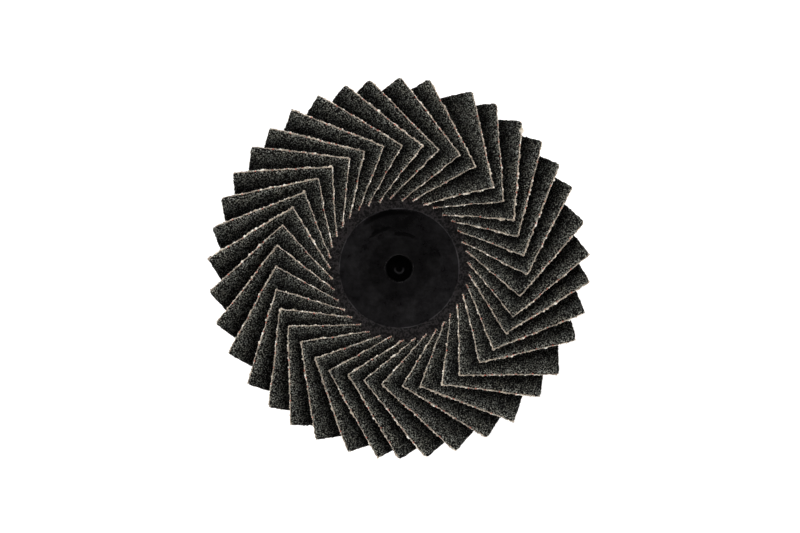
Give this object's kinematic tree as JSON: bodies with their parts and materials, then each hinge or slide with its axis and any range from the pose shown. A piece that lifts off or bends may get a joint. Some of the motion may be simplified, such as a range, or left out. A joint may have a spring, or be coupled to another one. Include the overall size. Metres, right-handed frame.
{
  "type": "flap disc",
  "caption": "Round flap disc with a pinwheel of overlapping black abrasive cloth flaps on a dished plastic backing plate with a central quick-change stud.",
  "frame": {"origin": "on the stud's axis, in the plane of the seat shoulder that bears on the holder", "axes": "+Z along the stud's axis, out of the grinding face; the stud points to -Z; the flap with the first raised corner lies a little over +X"},
  "size_m": [0.0761, 0.0762, 0.0168],
  "materials": {
    "nylon": "black glass-filled nylon, spark-eroded on the hub ring and smooth in the recess",
    "resin": "dark cured epoxy resin",
    "abrasive_cloth": "black silicon carbide grit on resin-filled cotton cloth, with cream cut edges"
  },
  "bodies": {
    "root": {"backing_plate": "nylon", "adhesive_bed": "resin", "flap_01": "abrasive_cloth", "flap_02": "abrasive_cloth", "flap_03": "abrasive_cloth", "flap_04": "abrasive_cloth", "flap_05": "abrasive_cloth", "flap_06": "abrasive_cloth", "flap_07": "abrasive_cloth", "flap_08": "abrasive_cloth", "flap_09": "abrasive_cloth", "flap_10": "abrasive_cloth", "flap_11": "abrasive_cloth", "flap_12": "abrasive_cloth", "flap_13": "abrasive_cloth", "flap_14": "abrasive_cloth", "flap_15": "abrasive_cloth", "flap_16": "abrasive_cloth", "flap_17": "abrasive_cloth", "flap_18": "abrasive_cloth", "flap_19": "abrasive_cloth", "flap_20": "abrasive_cloth", "flap_21": "abrasive_cloth", "flap_22": "abrasive_cloth", "flap_23": "abrasive_cloth", "flap_24": "abrasive_cloth", "flap_25": "abrasive_cloth", "flap_26": "abrasive_cloth", "flap_27": "abrasive_cloth", "flap_28": "abrasive_cloth", "flap_29": "abrasive_cloth", "flap_30": "abrasive_cloth", "flap_31": "abrasive_cloth", "flap_32": "abrasive_cloth", "flap_33": "abrasive_cloth", "flap_34": "abrasive_cloth", "flap_35": "abrasive_cloth", "flap_36": "abrasive_cloth", "flap_37": "abrasive_cloth", "flap_38": "abrasive_cloth", "flap_39": "abrasive_cloth"}
  },
  "joints": []
}
